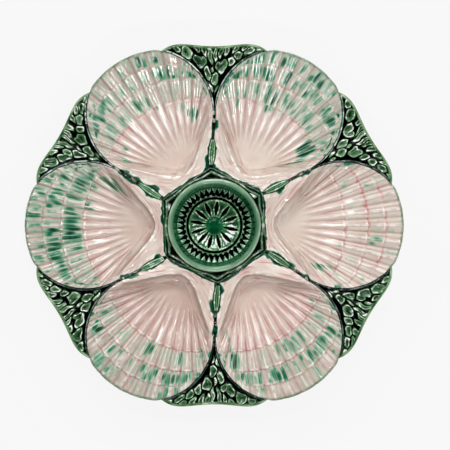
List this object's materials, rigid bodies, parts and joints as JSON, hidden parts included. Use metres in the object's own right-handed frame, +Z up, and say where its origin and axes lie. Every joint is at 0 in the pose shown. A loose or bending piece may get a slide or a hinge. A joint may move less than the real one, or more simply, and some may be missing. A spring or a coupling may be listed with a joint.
{
  "type": "oyster plate",
  "caption": "Round glazed serving plate with ribbed scallop wells around a toothed sauce cup in a hexagonal collar, and seaweed sprays in the gaps at the rim.",
  "frame": {"origin": "middle of the plate, on the plane of the standing face of the foot ring", "axes": "+Z up out of the wells; +X through the middle of the first scallop, towards the picture's right"},
  "size_m": [0.245, 0.235, 0.0304],
  "materials": {
    "shell_glaze": "glossy pinkish cream glaze, rosy where it pools in the grooves, brushed with green",
    "seaweed_glaze": "glossy green glaze, near black where it pools",
    "leaf_glaze": "glossy green glaze over a pink ground",
    "collar_glaze": "glossy translucent green glaze",
    "cup_glaze": "glossy translucent green glaze, darker in the grooves",
    "foot_glaze": "glossy pinkish cream glaze, bare clay on the standing face"
  },
  "bodies": {
    "root": {"shell_well_1": "shell_glaze", "shell_well_2": "shell_glaze", "shell_well_3": "shell_glaze", "shell_well_4": "shell_glaze", "shell_well_5": "shell_glaze", "shell_well_6": "shell_glaze", "seaweed_spray_1": "seaweed_glaze", "seaweed_spray_2": "seaweed_glaze", "seaweed_spray_3": "seaweed_glaze", "seaweed_spray_4": "seaweed_glaze", "seaweed_spray_5": "seaweed_glaze", "seaweed_spray_6": "seaweed_glaze", "divider_leaf_1": "leaf_glaze", "divider_leaf_2": "leaf_glaze", "divider_leaf_3": "leaf_glaze", "divider_leaf_4": "leaf_glaze", "divider_leaf_5": "leaf_glaze", "divider_leaf_6": "leaf_glaze", "hex_collar": "collar_glaze", "sauce_cup": "cup_glaze", "tooth_ring": "cup_glaze", "star_floor": "cup_glaze", "foot_ring": "foot_glaze"}
  },
  "joints": []
}
